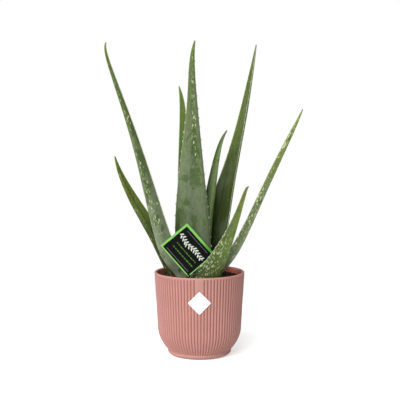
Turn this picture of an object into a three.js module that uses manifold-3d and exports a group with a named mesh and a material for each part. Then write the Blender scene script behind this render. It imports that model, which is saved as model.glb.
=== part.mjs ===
// A young aloe in a plastic pot with fine upright folds, with its soil, plant label and sticker.
// Millimetres, +Z up. The origin is the centre of the pot's foot, and the pot's front faces -Y.
import * as THREE from 'three';
import { mergeVertices } from 'three/addons/utils/BufferGeometryUtils.js';
import Module from 'manifold-3d';

const wasm = await Module();
wasm.setup();

const gap = 0.3; // clearance between pieces that touch

const pot = {
  height: 130, rimRadius: 70, taper: 0.057, // the wall leans out by taper for each mm it rises
  bowlTop: 42, bowlCurve: 0.0126, // below bowlTop the wall curves in by bowlCurve * drop^2
  footTop: 7, flatRadius: 38.5, footBulge: 11, // a flat underside with a rounded edge
  wall: 4.2, floor: 4, rimBottom: 127.2, rimRound: 1.4,
  folds: 84, foldDepth: 1.0, rimDepth: 0.5,
  panelFolds: 1.4, // grooves nearer to the front's middle than this many folds are left out
};

const soil = { top: 122, crest: 124, sides: 48 };

const stem = {
  x: -3, y: 8, bottom: 62, neck: 88, top: 112, // the stem widens from neck to top, where leaves join
  radius: 9, crownRadius: 25, sides: 16,
};
const roots = { count: 7, reach: 36, drop: 34, radius: 2.6, tipRadius: 0.8, sides: 6, steps: 5 };

const sticker = { side: 25, thickness: 0.4, centre: 92.2, slices: 12 };

const label = {
  side: 63, thickness: 0.8, centre: [-18, -31.6, 168],
  yaw: 28, lean: 29, roll: 13, // degrees: turned to the right, leaning back, turned clockwise
  stakeWidth: 5, stakeLength: 13,
};

// Each leaf's spine is a Bezier curve. A row is one control point: x, y, z and the leaf's width.
// facing gives the direction that the outer face looks in, in degrees from +X, at base and tip.
const leaves = [
  { name: 'leaf_front_right', facing: [-66, -54], thick: 0.32, channel: 0.14, spine: [
    [4, -34, 106, 50], [19, -39, 132, 39.5], [55, -47, 185, 6.5], [66, -56, 263, 8.5],
    [72, -66, 266, 3]] },
  { name: 'leaf_far_left', facing: [214, 204], thick: 0.36, channel: 0.16, spine: [
    [-27, -10, 106, 36], [-25, -12, 165, 43.5], [-77, -15, 118, 54.5], [-54, -23, 187, 40],
    [-83, -31, 351, 2], [-151, -36, 452, 12.5], [-139, -40, 479, 2]] },
  { name: 'leaf_far_right', facing: [-28, -22], thick: 0.34, channel: 0.14, spine: [
    [22, -2, 106, 34], [21, -6, 147, 29], [74, -11, 134, 33], [61, -17, 203, 5.5],
    [119, -24, 294, 25], [155, -31, 380, 2]] },
  { name: 'leaf_front_centre', facing: [-92, -88], thick: 0.28, channel: 0.12, spine: [
    [-7, 2, 106, 50], [-12, 2, 200, 69], [-21, 2, 298, 41], [2, 0, 368, 3.5],
    [-21, -4, 433, 17], [-7, -12, 484, 2]] },
  { name: 'leaf_left_short', facing: [166, 160], thick: 0.34, channel: 0.18, spine: [
    [-33, 22, 106, 38], [-58, 24, 122, 48.5], [-52, 30, 182, 31], [-116, 34, 226, 29],
    [-134, 39, 307, 2]] },
  { name: 'leaf_back_right', facing: [64, 34], thick: 0.32, channel: 0.18, spine: [
    [14, 37, 106, 42.5], [36, 44, 241, 63], [45, 57, 255, 11.5], [69, 72, 335, 26],
    [92, 88, 486, 2]] },
  { name: 'leaf_inner_curved', facing: [34, 22], thick: 0.32, channel: 0.12, spine: [
    [13, 26, 106, 26], [1, 29, 184, 39.5], [28, 27, 252, 20.5], [21, 24, 317, 14.5],
    [43, 23, 348, 2]] },
  { name: 'leaf_back_centre', facing: [112, 108], thick: 0.34, channel: 0.14, spine: [
    [-13, 30, 106, 24], [-32, 40, 208, 25], [-29, 49, 300, 14], [-21, 58, 374, 17.5],
    [-33, 64, 418, 2]] },
];
const leafShape = { stations: 17, steps: 6, tipThickening: 0.22, edge: 0.8 }; // edge: margin thickness

const finishes = {
  pot: { color: 0xc98b80, roughness: 0.6, metalness: 0 },
  soil: { color: 0x1d1613, roughness: 1, metalness: 0 },
  leaf: { color: 0x5f7a4c, roughness: 0.55, metalness: 0 },
  stem: { color: 0x9a8f6a, roughness: 0.8, metalness: 0 },
  label: { color: 0x17181a, roughness: 0.4, metalness: 0 },
  sticker: { color: 0xf2f2f0, roughness: 0.4, metalness: 0 },
};

// ---- solids ----

// Turns a closed geometry into a manifold solid, with its faces pointing outwards.
function toSolid(geometry) {
  const bare = geometry.clone();
  bare.deleteAttribute('normal');
  bare.deleteAttribute('uv');
  const merged = mergeVertices(bare, 1e-4);
  const triVerts = Uint32Array.from(merged.index.array);
  const vertProperties = Float32Array.from(merged.attributes.position.array);
  if (signedVolume(vertProperties, triVerts) < 0) triVerts.reverse();
  return new wasm.Manifold(new wasm.Mesh({ numProp: 3, vertProperties, triVerts }));
}

function signedVolume(points, triangles) {
  const [a, b, c] = [new THREE.Vector3(), new THREE.Vector3(), new THREE.Vector3()];
  let volume = 0;
  for (let i = 0; i < triangles.length; i += 3) {
    a.fromArray(points, 3 * triangles[i]);
    b.fromArray(points, 3 * triangles[i + 1]);
    c.fromArray(points, 3 * triangles[i + 2]);
    volume += a.dot(b.cross(c)) / 6;
  }
  return volume;
}

// Cuts every cutter from the solid and keeps the largest piece that is left.
function carve(solid, cutters) {
  const cut = cutters.reduce((rest, cutter) => rest.subtract(cutter), solid);
  return cut.decompose().reduce((best, piece) => (piece.volume() > best.volume() ? piece : best));
}

function toGeometry(solid) {
  const mesh = solid.getMesh();
  const positions = [];
  for (let i = 0; i < mesh.vertProperties.length; i += mesh.numProp) {
    positions.push(...mesh.vertProperties.slice(i, i + 3));
  }
  const geometry = new THREE.BufferGeometry();
  geometry.setAttribute('position', new THREE.Float32BufferAttribute(positions, 3));
  geometry.setIndex(Array.from(mesh.triVerts));
  geometry.computeVertexNormals();
  return geometry;
}

// Skins a row of flat sections, each an outline placed by its own frame, and caps both ends.
function skin(sections) {
  const count = sections[0].outline.length;
  const positions = [];
  for (const { outline, frame } of sections) {
    for (const { x, y } of outline) positions.push(...new THREE.Vector3(x, y, 0).applyMatrix4(frame));
  }
  const index = [];
  for (let row = 0; row + 1 < sections.length; row += 1) {
    for (let i = 0; i < count; i += 1) {
      const [a, b] = [row * count + i, row * count + (i + 1) % count];
      index.push(a, b, b + count, a, b + count, a + count);
    }
  }
  const last = (sections.length - 1) * count;
  for (const [a, b, c] of THREE.ShapeUtils.triangulateShape(sections[0].outline, [])) {
    index.push(c, b, a);
    index.push(last + a, last + b, last + c);
  }
  const geometry = new THREE.BufferGeometry();
  geometry.setAttribute('position', new THREE.Float32BufferAttribute(positions, 3));
  geometry.setIndex(index);
  return geometry;
}

const atHeight = (z) => new THREE.Matrix4().makeTranslation(0, 0, z);

function circle(radius, sides) {
  return Array.from({ length: sides }, (_, i) => {
    const angle = 2 * Math.PI * i / sides;
    return new THREE.Vector2(radius * Math.cos(angle), radius * Math.sin(angle));
  });
}

function latheSolid(profile, sides) {
  const points = profile.map(([radius, z]) => new THREE.Vector2(radius, z));
  return toSolid(new THREE.LatheGeometry(points, sides).rotateX(Math.PI / 2));
}

// ---- pot ----

// The outer radius over the crests of the folds at a height.
function potRadius(z) {
  const slope = pot.rimRadius - pot.taper * (pot.height - z);
  if (z >= pot.bowlTop) return slope;
  if (z >= pot.footTop) return slope - pot.bowlCurve * (pot.bowlTop - z) ** 2;
  const edge = (pot.footTop - z) / pot.footTop;
  return pot.flatRadius + pot.footBulge * Math.sqrt(1 - edge * edge);
}

// A ring of folds. Each fold is a crest and a groove, and a plain front panel has no grooves.
function foldedOutline(radius, depth, panel) {
  return Array.from({ length: 2 * pot.folds }, (_, i) => {
    const fromFront = Math.abs(i - pot.folds) / 2;
    const groove = i % 2 === 1 && !(panel && fromFront < pot.panelFolds);
    const angle = Math.PI / 2 + Math.PI * i / pot.folds;
    const r = groove ? radius - depth : radius;
    return new THREE.Vector2(r * Math.cos(angle), r * Math.sin(angle));
  });
}

// The folds run from the foot to just under the rim, and the panel from the sticker upwards.
function potSolid() {
  const low = [[0, 0], [1, 0], [3, 0], [pot.footTop, 0]];
  const wall = [10, 16, 24, 32, pot.bowlTop, sticker.centre - 1, sticker.centre + 1, pot.rimBottom];
  const heights = [...low, ...wall.map((z) => [z, pot.foldDepth])];
  const rings = heights.map(([z, depth]) => ({
    outline: foldedOutline(potRadius(z), depth, z > sticker.centre), frame: atHeight(z) }));
  const top = pot.height - pot.rimRound;
  rings.push({ outline: foldedOutline(potRadius(top), pot.rimDepth, true), frame: atHeight(top) });
  const lip = potRadius(pot.height) - pot.rimRound;
  rings.push({ outline: foldedOutline(lip, 0, true), frame: atHeight(pot.height) });
  return toSolid(skin(rings)).subtract(cavitySolid(0, pot.height + 1));
}

// The pot's hollow up to a height, drawn in by inset all over.
function cavitySolid(inset, top) {
  const heights = [pot.floor + inset, 10, 16, 24, 32, pot.bowlTop, top];
  const inner = heights.map((z) => [potRadius(z) - pot.wall - inset, z]);
  return latheSolid([[0, pot.floor + inset], ...inner, [0, top]], 64);
}

// ---- plant ----

// A point of a Bezier curve, by repeated blending of its control rows.
function bezier(rows, t) {
  let points = rows;
  while (points.length > 1) {
    points = points.slice(1).map((row, i) => row.map((v, k) => points[i][k] * (1 - t) + v * t));
  }
  return points[0];
}

// Half moon with blunt margins. The outer face bulges and the inner face is hollowed.
function crescent(width, outer, inner, edge) {
  const angles = Array.from({ length: leafShape.steps + 1 }, (_, i) => Math.PI * i / leafShape.steps);
  const face = (angle, bulge, side) => new THREE.Vector2(
    width / 2 * Math.cos(angle), bulge * Math.sin(angle) + side * edge / 2);
  const outside = angles.map((angle) => face(angle, outer, 1));
  const inside = angles.reverse().map((angle) => face(angle, inner, -1));
  return [...outside, ...inside];
}

// The leaf as a solid, made larger all over by grow.
function leafSolid({ spine, facing, thick, channel }, grow) {
  const legs = spine.slice(1).map((row, i) => row.slice(0, 3).map((v, k) => v - spine[i][k]));
  const sections = [];
  for (let i = 0; i < leafShape.stations; i += 1) {
    const t = i / (leafShape.stations - 1);
    const [x, y, z, width] = bezier(spine, t);
    const along = new THREE.Vector3(...bezier(legs, t)).normalize();
    const angle = THREE.MathUtils.degToRad(facing[0] + (facing[1] - facing[0]) * t);
    const out = new THREE.Vector3(Math.cos(angle), Math.sin(angle), 0);
    out.addScaledVector(along, -out.dot(along)).normalize();
    const across = new THREE.Vector3().crossVectors(along, out);
    const outer = width * (thick + leafShape.tipThickening * t * t);
    const inner = channel * width * (1 - t);
    const origin = new THREE.Vector3(x, y, z).addScaledVector(out, -(outer + inner) / 2);
    const frame = new THREE.Matrix4().makeBasis(across, out, along).setPosition(origin);
    const edge = leafShape.edge * (1 - t / 2) + 4 * grow;
    sections.push({ outline: crescent(width + 2 * grow, outer, inner, edge), frame });
  }
  return toSolid(skin(sections));
}

// The short stem with its spreading roots, all made thicker by grow.
function stemSolid(grow) {
  const base = new THREE.Vector3(stem.x, stem.y, stem.bottom);
  const core = [[stem.bottom, stem.radius * 0.6], [stem.bottom + 10, stem.radius],
    [stem.neck, stem.radius], [(stem.neck + stem.top) / 2, stem.crownRadius * 0.8],
    [stem.top, stem.crownRadius]].map(([z, radius]) => ({
    outline: circle(radius + grow, stem.sides),
    frame: new THREE.Matrix4().makeTranslation(stem.x, stem.y, z),
  }));
  let solid = toSolid(skin(core));
  for (let i = 0; i < roots.count; i += 1) {
    const angle = 2 * Math.PI * (i + 0.3 * (i % 2)) / roots.count;
    solid = solid.add(rootSolid(base, angle, grow));
  }
  return solid;
}

// One root, which leaves the stem sideways and bends down.
function rootSolid(base, angle, grow) {
  const at = (reach, rise) => new THREE.Vector3(
    base.x + reach * Math.cos(angle), base.y + reach * Math.sin(angle), base.z + rise);
  const path = new THREE.QuadraticBezierCurve3(
    at(2, 12), at(roots.reach * 0.8, 10), at(roots.reach, -roots.drop));
  const sections = [];
  for (let i = 0; i <= roots.steps; i += 1) {
    const t = i / roots.steps;
    const along = path.getTangent(t);
    const side = new THREE.Vector3(-Math.sin(angle), Math.cos(angle), 0);
    const up = new THREE.Vector3().crossVectors(along, side);
    const frame = new THREE.Matrix4().makeBasis(side, up, along).setPosition(path.getPoint(t));
    const radius = THREE.MathUtils.lerp(roots.radius, roots.tipRadius, t) + grow;
    sections.push({ outline: circle(radius, roots.sides), frame });
  }
  return toSolid(skin(sections));
}

// ---- label and sticker ----

function labelFrame() {
  const { degToRad } = THREE.MathUtils;
  const turn = new THREE.Matrix4().makeRotationZ(degToRad(label.yaw));
  const lean = new THREE.Matrix4().makeRotationX(degToRad(90 - label.lean));
  const roll = new THREE.Matrix4().makeRotationZ(degToRad(-label.roll));
  return new THREE.Matrix4().makeTranslation(...label.centre).multiply(turn).multiply(lean).multiply(roll);
}

// A square card standing on one corner, which carries on down as a pointed stake.
function labelSolid(grow) {
  const half = label.side / Math.SQRT2 + grow;
  const w = label.stakeWidth / 2 + grow;
  const end = half + label.stakeLength;
  const card = new THREE.Shape([
    [0, half], [-half, 0], [-w, w - half], [-w, w - end], [0, -end], [w, w - end], [w, w - half],
    [half, 0]].map(([x, y]) => new THREE.Vector2(x, y)));
  const depth = label.thickness + 2 * grow;
  const plate = new THREE.ExtrudeGeometry(card, { depth, bevelEnabled: false });
  return toSolid(plate.translate(0, 0, -depth / 2).applyMatrix4(labelFrame()));
}

// A thin square standing on one corner, bent round the front of the pot.
function stickerSolid() {
  const half = sticker.side / Math.SQRT2;
  const radius = potRadius(sticker.centre) + gap;
  const slope = Math.atan(pot.taper);
  const sections = [];
  for (let i = 0; i <= sticker.slices; i += 1) {
    const reach = half * (2 * i / sticker.slices - 1);
    const tall = Math.max(half - Math.abs(reach), gap);
    const outline = [[-tall, 0], [tall, 0], [tall, sticker.thickness], [-tall, sticker.thickness]];
    const frame = new THREE.Matrix4().makeRotationZ(reach / radius);
    const rest = new THREE.Matrix4().makeBasis(
      new THREE.Vector3(0, -Math.sin(slope), Math.cos(slope)),
      new THREE.Vector3(0, -Math.cos(slope), -Math.sin(slope)), new THREE.Vector3(1, 0, 0));
    rest.setPosition(0, -radius, sticker.centre);
    sections.push({ outline: outline.map(([x, y]) => new THREE.Vector2(x, y)), frame: frame.multiply(rest) });
  }
  return toSolid(skin(sections));
}

// ---- assembly ----

// Leaves press on each other at the base, so each is cut back from those listed before it.
function plantSolids() {
  const pieces = {};
  const pressed = [];
  for (const leaf of leaves) {
    pieces[leaf.name] = carve(leafSolid(leaf, 0), pressed);
    pressed.push(leafSolid(leaf, gap));
  }
  pieces.crown_and_roots = carve(stemSolid(0), pressed);
  return pieces;
}

function soilSolid() {
  const dome = latheSolid([[0, 0], [pot.rimRadius, 0], [pot.rimRadius, soil.top],
    [pot.rimRadius / 2, soil.crest], [0, soil.crest]], soil.sides);
  const filling = cavitySolid(gap, soil.crest + 1).intersect(dome);
  return carve(filling, [...leaves.map((leaf) => leafSolid(leaf, gap)), stemSolid(gap), labelSolid(gap)]);
}

function addPiece(group, name, solid, finish) {
  const mesh = new THREE.Mesh(toGeometry(solid), new THREE.MeshStandardMaterial(finishes[finish]));
  mesh.name = name;
  group.add(mesh);
}

const aloe = new THREE.Group();
addPiece(aloe, 'pot', potSolid(), 'pot');
addPiece(aloe, 'soil', soilSolid(), 'soil');
for (const [name, solid] of Object.entries(plantSolids())) {
  addPiece(aloe, name, solid, name.startsWith('leaf') ? 'leaf' : 'stem');
}
addPiece(aloe, 'plant_label', labelSolid(0), 'label');
addPiece(aloe, 'pot_sticker', stickerSolid(), 'sticker');

export default aloe;
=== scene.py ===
# A young aloe in a folded plastic pot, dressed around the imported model.
# Metres, +Z up. The origin is the centre of the pot's foot and the front faces -Y.
import math
import random

import bmesh
import bpy
from mathutils import Matrix, Vector, noise
from mathutils.bvhtree import BVHTree


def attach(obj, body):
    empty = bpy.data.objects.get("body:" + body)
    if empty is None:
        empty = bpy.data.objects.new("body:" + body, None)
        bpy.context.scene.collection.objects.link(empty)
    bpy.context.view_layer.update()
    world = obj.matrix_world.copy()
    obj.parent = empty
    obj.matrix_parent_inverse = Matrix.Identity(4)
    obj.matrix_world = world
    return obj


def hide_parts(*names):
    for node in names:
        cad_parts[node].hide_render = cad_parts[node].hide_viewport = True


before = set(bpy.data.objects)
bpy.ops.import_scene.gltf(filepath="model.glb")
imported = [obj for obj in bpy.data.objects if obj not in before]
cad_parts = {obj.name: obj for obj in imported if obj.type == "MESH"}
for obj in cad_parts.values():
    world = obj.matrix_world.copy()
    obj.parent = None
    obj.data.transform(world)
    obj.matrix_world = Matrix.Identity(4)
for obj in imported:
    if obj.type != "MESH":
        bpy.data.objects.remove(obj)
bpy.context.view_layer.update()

mm = 0.001
tau = 2 * math.pi


def linear(value):  # 0 to 255 as on a screen, to the renderer's own light scale
    value /= 255
    return value / 12.92 if value < 0.04 else ((value + 0.055) / 1.055) ** 2.4


def paint(red, green, blue):
    return (linear(red), linear(green), linear(blue), 1.0)


def smoothBetween(value, low, high):
    share = min(max((value - low) / (high - low), 0.0), 1.0)
    return share * share * (3 - 2 * share)


def addPiece(name, points, faces, materials, nodes, smooth=True):
    mesh = bpy.data.meshes.new(name)
    mesh.from_pydata([tuple(p) for p in points], [], faces)
    work = bmesh.new()
    work.from_mesh(mesh)
    bmesh.ops.recalc_face_normals(work, faces=work.faces)
    work.to_mesh(mesh)
    work.free()
    mesh.polygons.foreach_set("use_smooth", [smooth] * len(mesh.polygons))
    for material in materials:
        mesh.materials.append(material)
    piece = bpy.data.objects.new(name, mesh)
    bpy.context.scene.collection.objects.link(piece)
    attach(piece, "root")
    if nodes:
        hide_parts(*nodes)
    return piece


def addChannel(piece, name, kind, values):
    field = {"FLOAT_VECTOR": "vector", "FLOAT": "value"}[kind]
    flat = [v for value in values for v in value] if kind == "FLOAT_VECTOR" else values
    piece.data.attributes.new(name, kind, "POINT").data.foreach_set(field, flat)


def joinRings(rings, closed=True):  # rings are rows of point numbers
    faces = []
    for low, high in zip(rings, rings[1:]):
        count = len(low)
        for i in range(count if closed else count - 1):
            j = (i + 1) % count
            faces.append((low[i], low[j], high[j], high[i]))
    return faces


# Short names for the shader nodes that the finishes are made from.

def newFinish(name, roughness=0.5):
    material = bpy.data.materials.new(name)
    material.use_nodes = True
    tree = material.node_tree
    shader = tree.nodes["Principled BSDF"]
    shader.inputs["Roughness"].default_value = roughness
    return material, tree, shader


def plug(tree, source, socket):
    if isinstance(source, bpy.types.NodeSocket):
        tree.links.new(source, socket)
    else:
        socket.default_value = source


def partOf(tree, vector, part):
    split = tree.nodes.new("ShaderNodeSeparateXYZ")
    tree.links.new(vector, split.inputs[0])
    return split.outputs[part]


def channel(tree, name, part=None):
    node = tree.nodes.new("ShaderNodeAttribute")
    node.attribute_name = name
    vector = node.outputs["Vector"]
    return vector if part is None else partOf(tree, vector, part)


def objectPlace(tree):
    return tree.nodes.new("ShaderNodeTexCoord").outputs["Object"]


def calc(tree, operation, a, b=0.0, c=0.0):
    node = tree.nodes.new("ShaderNodeMath")
    node.operation = operation
    for source, socket in zip((a, b, c), node.inputs):
        plug(tree, source, socket)
    return node.outputs[0]


def times(tree, a, b):
    return calc(tree, "MULTIPLY", a, b)


def ramp(tree, value, low, high, bottom=0.0, top=1.0):
    node = tree.nodes.new("ShaderNodeMapRange")
    node.interpolation_type = "SMOOTHSTEP"
    plug(tree, value, node.inputs["Value"])
    if low > high:  # the node wants its range in rising order
        low, high, bottom, top = high, low, top, bottom
    for name, number in (("From Min", low), ("From Max", high), ("To Min", bottom), ("To Max", top)):
        node.inputs[name].default_value = number
    return node.outputs["Result"]


def mixColor(tree, share, a, b, blend="MIX"):
    node = tree.nodes.new("ShaderNodeMix")
    node.data_type, node.blend_type = "RGBA", blend
    plug(tree, share, node.inputs[0])
    plug(tree, a, node.inputs[6])
    plug(tree, b, node.inputs[7])
    return node.outputs[2]


def colorAlong(tree, value, stops):
    node = tree.nodes.new("ShaderNodeValToRGB")
    plug(tree, value, node.inputs[0])
    elements = node.color_ramp.elements
    while len(elements) < len(stops):
        elements.new(0.5)
    for element, (position, color) in zip(elements, stops):
        element.position, element.color = position, color
    return node.outputs[0]


def stretched(tree, place, scale):
    node = tree.nodes.new("ShaderNodeMapping")
    tree.links.new(place, node.inputs["Vector"])
    node.inputs["Scale"].default_value = scale
    return node.outputs[0]


def grain(tree, place, scale, detail=3.0, rough=0.5, warp=0.0):
    node = tree.nodes.new("ShaderNodeTexNoise")
    tree.links.new(place, node.inputs["Vector"])
    for name, number in (("Scale", scale), ("Detail", detail), ("Roughness", rough), ("Distortion", warp)):
        node.inputs[name].default_value = number
    return node.outputs[0]


def cells(tree, place, scale, spread=1.0):  # gives the distance to the cell's middle and a random number
    node = tree.nodes.new("ShaderNodeTexVoronoi")
    tree.links.new(place, node.inputs["Vector"])
    node.inputs["Scale"].default_value = scale
    node.inputs["Randomness"].default_value = spread
    split = tree.nodes.new("ShaderNodeSeparateColor")
    tree.links.new(node.outputs["Color"], split.inputs[0])
    return node.outputs["Distance"], split.outputs[0]


def relief(tree, shader, height, depth, strength=1.0, below=None):
    node = tree.nodes.new("ShaderNodeBump")
    node.inputs["Distance"].default_value = depth
    node.inputs["Strength"].default_value = strength
    plug(tree, height, node.inputs["Height"])
    if below is not None:
        tree.links.new(below, node.inputs["Normal"])
    tree.links.new(node.outputs[0], shader.inputs["Normal"])
    return node.outputs[0]


print("aloe: camera, lights and floor")

studio = {
    "cameraPlace": (0.0008, -1.4565, 0.3607), "cameraPitch": 4.69, "lens": 85,
    "skyFill": 0.36, "backdrop": 1.0,
    "lamps": {  # strength, height and turn to the left in degrees, softness in degrees
        "keyLight": (3.35, 34, 27, 50), "leftFill": (0.45, 20, 80, 120)},
    "floorTint": (0.92, 0.92, 0.92, 1), "floorGlow": 0.5, "floorReach": 0.5,
}


def setCameraAndLamps(scene):
    scene.view_settings.view_transform = "Standard"
    camera = bpy.data.objects.new("camera", bpy.data.cameras.new("camera"))
    camera.location = studio["cameraPlace"]
    camera.rotation_euler = (math.radians(90 - studio["cameraPitch"]), 0, 0)
    camera.data.lens = studio["lens"]
    scene.collection.objects.link(camera)
    scene.camera = camera

    for name, (strength, height, left, softness) in studio["lamps"].items():
        light = bpy.data.lights.new(name, "SUN")
        light.energy, light.angle = strength, math.radians(softness)
        lamp = bpy.data.objects.new(name, light)
        turn, tilt = math.radians(-left), math.radians(height)
        level = math.cos(tilt)
        towards = Vector((math.sin(turn) * level, -math.cos(turn) * level, math.sin(tilt)))
        lamp.rotation_euler = towards.to_track_quat("Z", "Y").to_euler()
        scene.collection.objects.link(lamp)


def setBackdrop(scene):  # white to look at, while it gives a softer fill to the plant
    world = bpy.data.worlds.new("studio")
    world.use_nodes = True
    scene.world = world
    tree = world.node_tree
    seen = tree.nodes["Background"]
    seen.inputs["Color"].default_value = (1, 1, 1, 1)
    seen.inputs["Strength"].default_value = studio["backdrop"]
    fill = tree.nodes.new("ShaderNodeBackground")
    fill.inputs["Color"].default_value = (1, 1, 1, 1)
    fill.inputs["Strength"].default_value = studio["skyFill"]
    path, mix = tree.nodes.new("ShaderNodeLightPath"), tree.nodes.new("ShaderNodeMixShader")
    tree.links.new(path.outputs["Is Camera Ray"], mix.inputs[0])
    tree.links.new(fill.outputs[0], mix.inputs[1])
    tree.links.new(seen.outputs[0], mix.inputs[2])
    tree.links.new(mix.outputs[0], tree.nodes["World Output"].inputs["Surface"])


def layFloor(scene):
    reach, sides = studio["floorReach"], 96
    mesh = bpy.data.meshes.new("floor")
    rim = [(reach * math.cos(tau * i / sides), reach * math.sin(tau * i / sides), 0) for i in range(sides)]
    mesh.from_pydata(rim, [], [tuple(range(sides))])
    finish, tree, shader = newFinish("floorPaper", 0.9)
    shader.inputs["Specular IOR Level"].default_value = 0.1
    place = objectPlace(tree)
    shade = mixColor(tree, grain(tree, place, 40, 4), studio["floorTint"], (0.94, 0.94, 0.94, 1))
    tree.links.new(shade, shader.inputs["Base Color"])
    shader.inputs["Emission Color"].default_value = (1, 1, 1, 1)
    # glows to the camera alone, so that the cast shadow is faint to look at
    seen = tree.nodes.new("ShaderNodeLightPath").outputs["Is Camera Ray"]
    tree.links.new(times(tree, seen, studio["floorGlow"]), shader.inputs["Emission Strength"])
    mesh.materials.append(finish)
    floor = bpy.data.objects.new("floor", mesh)
    scene.collection.objects.link(floor)


setCameraAndLamps(bpy.context.scene)
setBackdrop(bpy.context.scene)
layFloor(bpy.context.scene)

print("aloe: pot")

pot = {
    "height": 130, "rimRadius": 70, "taper": 0.057,
    "bowlTop": 42, "bowlCurve": 0.0126,
    "footTop": 7, "flatRadius": 38.5, "footBulge": 11,
    "wall": 4.2, "floor": 4,
    "folds": 84, "foldDepth": 1.3, "foldRound": 1.15, "footFoldDepth": 0.5,
    "panelFolds": 1.5, "panelBottom": 92.2, "rimBottom": 127.3, "rimRound": 1.4,
    "pointsPerFold": 12,
    "color": (177, 128, 120), "grooveShadeColor": (147, 77, 64), "rimLightColor": (186, 131, 121),
    "insideLitColor": (216, 110, 93), "roughness": 0.5,
}


def potRadius(z):
    slope = pot["rimRadius"] - pot["taper"] * (pot["height"] - z)
    if z >= pot["bowlTop"]:
        return slope
    if z >= pot["footTop"]:
        return slope - pot["bowlCurve"] * (pot["bowlTop"] - z) ** 2
    edge = (pot["footTop"] - z) / pot["footTop"]
    return pot["flatRadius"] + pot["footBulge"] * math.sqrt(1 - edge * edge)


def foldDrop(turns, z):  # how far the surface lies under the crests, as a share of the fold depth
    fold = turns * pot["folds"]
    fromFront = (fold + pot["folds"] / 2) % pot["folds"] - pot["folds"] / 2
    if z > pot["panelBottom"] and abs(fromFront) < pot["panelFolds"]:
        edge = pot["panelFolds"] - abs(fromFront)
        return 1 - math.sin(math.pi * min(edge, 0.5)) ** pot["foldRound"]
    return 1 - abs(math.sin(math.pi * (fold + 0.5))) ** pot["foldRound"]


def outerRows():  # height, radius, fold depth and colour zone, from the foot up to the lip
    rows = [(0, pot["flatRadius"] * 0.5, 0, 0), (0, pot["flatRadius"] - 1, 0, 0)]
    fold = pot["footFoldDepth"]
    for z in (0.05, 0.5, 1.1, 2, 3, 4, 5, 5.8):
        rows.append((z, potRadius(z), fold * smoothBetween(z, 0, 2), 0))
    rows += [(6.4, potRadius(6.4) - 0.15, fold, 0), (7.0, potRadius(7) + 1.35, fold, 0)]
    rows += [(7.7, potRadius(7.7) + 0.55, 0.65, 0), (8.6, potRadius(8.6) + 0.12, 0.8, 0)]
    z = 9.8
    while z < pot["rimBottom"] - 1.6:
        rows.append((z, potRadius(z), 1.0 if z > 12 else 0.85, 0))
        z += 1.5 if z < pot["bowlTop"] else (2.0 if abs(z - pot["panelBottom"]) < 5 else 4.5)
    top = pot["rimBottom"]
    rows += [(top - 1.5, potRadius(top), 1.0, 0), (top - 0.9, potRadius(top) - 0.1, 0.8, 0)]
    rows += [(top - 0.5, potRadius(top) - 0.45, 0.4, 0.5), (top - 0.2, potRadius(top) - 0.5, 0.1, 0.5)]
    rows += [(top + 0.1, potRadius(top) - 0.15, 0, 1), (top + 0.5, potRadius(top), 0, 1)]
    lip, lean = pot["rimRound"], potRadius(pot["height"])
    rows += [(pot["height"] - lip, lean, 0, 1)]
    for i in range(1, 6):
        angle = math.pi / 2 * i / 5
        rows.append((pot["height"] - lip + lip * math.sin(angle), lean - lip * (1 - math.cos(angle)), 0, 1))
    return rows


def buildPot():
    count = pot["folds"] * pot["pointsPerFold"]
    inner = lambda z: potRadius(z) - pot["wall"]
    rows = outerRows()
    top, lip = pot["height"], pot["rimRound"]
    for i in range(5):  # rounded inner edge of the lip
        angle = math.pi / 2 * i / 4
        rows.append((top - lip + lip * math.cos(angle), inner(top) + lip * (1 - math.sin(angle)), 0, 1))
    rows += [(z, inner(z), 0, 2) for z in (126, 123, 119, 110, 90, 66, 42, 30, 20, 12, 6)]
    points, zones, rings = [], [], []
    for z, radius, depth, zone in rows:
        rings.append(range(len(points), len(points) + count))
        for i in range(count):
            turns = i / count
            drop = foldDrop(turns, z)
            r = (radius - depth * pot["foldDepth"] * drop) * mm
            angle = tau * turns - math.pi / 2
            points.append((r * math.cos(angle), r * math.sin(angle), z * mm))
            zones.append((drop * min(depth, 1), zone, 0))
    faces = joinRings(rings)
    middle = len(points)
    points += [(0, 0, 0), (0, 0, pot["floor"] * mm)]
    zones += [(0, 0, 0), (0, 2, 0)]
    first, last = rings[0], rings[-1]
    for i in range(count):
        j = (i + 1) % count
        faces += [(middle, first[j], first[i]), (middle + 1, last[i], last[j])]
    piece = addPiece("potBody", points, faces, [potFinish()], ["pot"])
    addChannel(piece, "potZone", "FLOAT_VECTOR", zones)
    return piece


def potFinish():
    material, tree, shader = newFinish("satinPotPlastic", pot["roughness"])
    place = objectPlace(tree)
    drop, zone = channel(tree, "potZone", 0), channel(tree, "potZone", 1)
    blotch = grain(tree, place, 28, 3)
    speck = grain(tree, place, 1400, 2)
    body = mixColor(tree, ramp(tree, blotch, 0.35, 0.65), paint(*pot["color"]),
                    paint(*[c * 0.965 for c in pot["color"]]))
    # painted shade: darker down in the grooves between the folds
    body = mixColor(tree, ramp(tree, drop, 0.25, 0.95), body, paint(*pot["grooveShadeColor"]))
    # painted light: the rim band and the lip are a touch lighter
    body = mixColor(tree, ramp(tree, zone, 0.6, 0.95), body, paint(*pot["rimLightColor"]))
    # painted light: the shaded inside wall is painted lighter than the outside plastic
    body = mixColor(tree, ramp(tree, zone, 1.05, 1.6), body, paint(*pot["insideLitColor"]))
    body = mixColor(tree, ramp(tree, speck, 0.3, 0.7, 0.0, 0.10), body, paint(235, 190, 178))
    tree.links.new(body, shader.inputs["Base Color"])
    rough = calc(tree, "ADD", times(tree, blotch, 0.14), pot["roughness"] - 0.07)
    tree.links.new(rough, shader.inputs["Roughness"])
    shader.inputs["Specular IOR Level"].default_value = 0.35
    relief(tree, shader, speck, 0.00006, 0.5)
    return material


buildPot()

print("aloe: leaves")

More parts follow.
